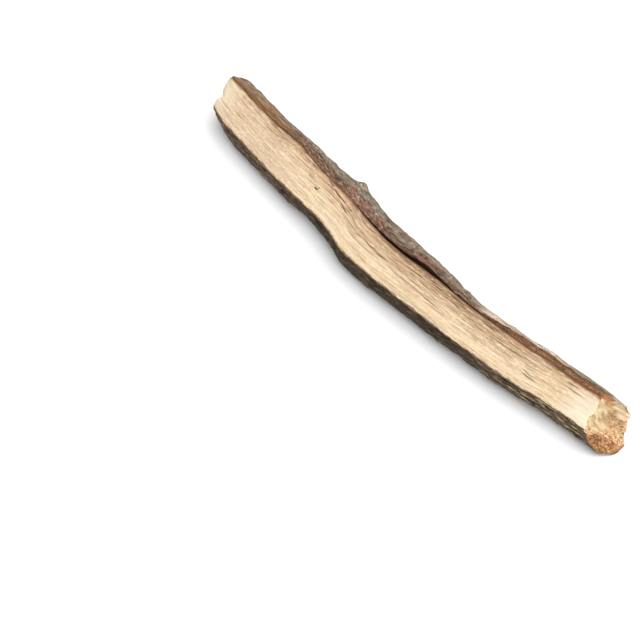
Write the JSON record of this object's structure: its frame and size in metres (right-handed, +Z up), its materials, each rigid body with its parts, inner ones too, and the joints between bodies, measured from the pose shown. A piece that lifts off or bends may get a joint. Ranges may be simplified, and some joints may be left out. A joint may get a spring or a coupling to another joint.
{
  "type": "mango wood stick",
  "caption": "Split length of hardwood branch lying on its bark, with a pale torn face, a sloping sawn end and a crack where the bark has lifted from the wood.",
  "frame": {"origin": "middle of the box's underside, on the surface that the stick lies on", "axes": "+X along the stick to its sloping sawn end, +Y to the back, away from the split face, +Z up"},
  "size_m": [0.3, 0.0384, 0.0266],
  "materials": {
    "mango_wood": "dry torn heart wood, matt, with streaks along the grain",
    "mango_bark": "dry mottled bark, matt, grey to brown"
  },
  "bodies": {
    "root": {"mango_wood_stick": "mango_wood"}
  },
  "joints": []
}
